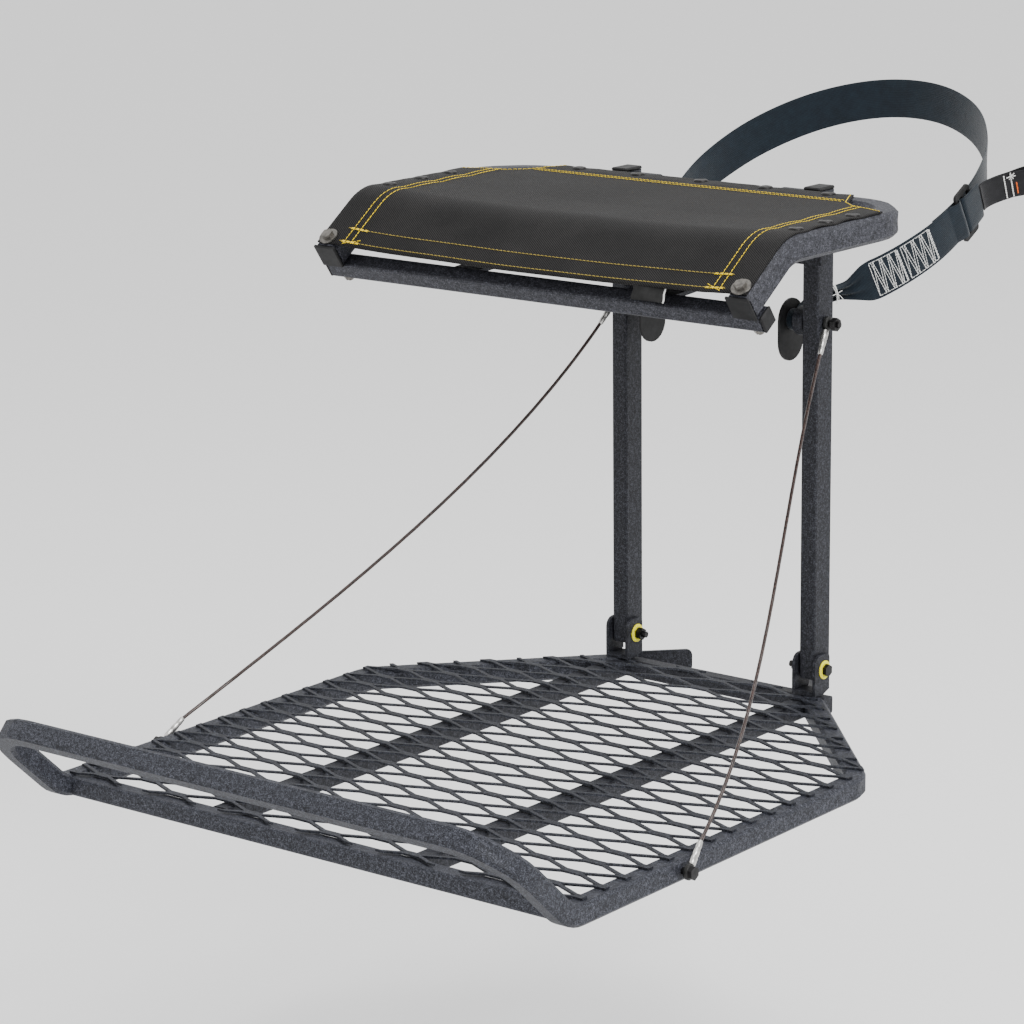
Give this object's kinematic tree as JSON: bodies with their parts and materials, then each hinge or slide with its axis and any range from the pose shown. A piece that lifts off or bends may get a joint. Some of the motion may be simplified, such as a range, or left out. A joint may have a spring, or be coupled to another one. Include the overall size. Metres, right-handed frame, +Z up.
{
  "type": "tree stand",
  "caption": "Hang-on tree stand: folding expanded-metal platform with a raised footrest, two uprights, a flip-up sling seat, side support cables and a trunk strap with a slide.",
  "frame": {"origin": "On the front face of the trunk that carries the stand, midway between the uprights, at the height of the platform's cross bars; 24 mm behind the uprights' centre plane.", "axes": "+Z up along the trunk, -Y the way the sitter faces, +X the sitter's left hand, seen on the right in a front view."},
  "size_m": [0.7942, 1.357, 0.7321],
  "materials": {
    "frame_powder": "blue-grey speckled powder coat",
    "bar_powder": "dark blue-grey speckled powder coat",
    "black_plastic": "moulded",
    "black_hardware": "black oxide",
    "zinc_hardware": "zinc plated",
    "ferrule_metal": "swaged",
    "cable_coat": "satin coating",
    "bushing": "moulded",
    "webbing": "woven",
    "tail_webbing": "woven",
    "seat_cloth": "coated twill"
  },
  "bodies": {
    "frame": {"upright_left": "bar_powder", "upright_right": "bar_powder", "upright_cap_left": "black_plastic", "upright_cap_right": "black_plastic", "strap_lug_left": "frame_powder", "strap_lug_right": "frame_powder", "anchor_bolt_left": "black_hardware", "anchor_bolt_right": "black_hardware", "anchor_nut_left": "black_hardware", "anchor_nut_right": "black_hardware", "cable_eye_upper_left": "ferrule_metal", "cable_eye_upper_right": "ferrule_metal", "cable_left": "cable_coat", "cable_right": "cable_coat", "fold_bolt_left": "black_hardware", "fold_bolt_right": "black_hardware", "fold_nut_left": "black_hardware", "fold_nut_right": "black_hardware", "seat_pin_left": "zinc_hardware", "seat_pin_right": "zinc_hardware", "upright_tie": "bar_powder", "strap_band": "webbing", "strap_lead": "webbing", "strap_slide": "black_plastic", "strap_tail": "tail_webbing"},
    "platform": {"platform_loop": "frame_powder", "front_bar": "bar_powder", "rear_bar": "bar_powder", "deck_grille": "bar_powder", "deck_rib_left": "bar_powder", "deck_rib_right": "bar_powder", "clevis_left": "bar_powder", "clevis_right": "bar_powder", "tree_blade_left": "bar_powder", "tree_blade_right": "bar_powder", "fold_bushing_outer_left": "bushing", "fold_bushing_outer_right": "bushing", "fold_bushing_inner_left": "bushing", "fold_bushing_inner_right": "bushing", "cable_eye_lower_left": "ferrule_metal", "cable_eye_lower_right": "ferrule_metal", "rail_bolt_left": "black_hardware", "rail_bolt_right": "black_hardware"},
    "seat": {"seat_tube": "frame_powder", "seat_crossbar": "frame_powder", "seat_fabric": "seat_cloth", "rail_plug_left": "black_plastic", "rail_plug_right": "black_plastic", "crossbar_plug_left": "black_plastic", "crossbar_plug_right": "black_plastic", "seat_bolt_left": "zinc_hardware", "seat_bolt_right": "zinc_hardware", "seat_nut_left": "zinc_hardware", "seat_nut_right": "zinc_hardware", "seat_strut_left": "bar_powder", "seat_strut_right": "bar_powder", "seat_barrel_left": "frame_powder", "seat_barrel_right": "frame_powder"},
    "keeper_left": {"keeper_plate_left": "black_plastic"},
    "keeper_right": {"keeper_plate_right": "black_plastic"}
  },
  "joints": [
    {"name": "platform_fold", "type": "hinge", "parent": "frame", "child": "platform", "pos_m": [0, -0.028, 0.0335], "axis": [-1, 0, 0], "range_deg": [0, 50], "deforming": ["cable_left", "cable_right"]},
    {"name": "seat_flip", "type": "hinge", "parent": "frame", "child": "seat", "pos_m": [0, -0.024, 0.615], "axis": [-1, 0, 0], "range_deg": [0, 90]},
    {"name": "keeper_left_swing", "type": "hinge", "parent": "frame", "child": "keeper_left", "pos_m": [-0.104, -0.024, 0.4665], "axis": [1, 0, 0], "range_deg": [-90, 90]},
    {"name": "keeper_right_swing", "type": "hinge", "parent": "frame", "child": "keeper_right", "pos_m": [0.104, -0.024, 0.4665], "axis": [1, 0, 0], "range_deg": [-90, 90]}
  ]
}
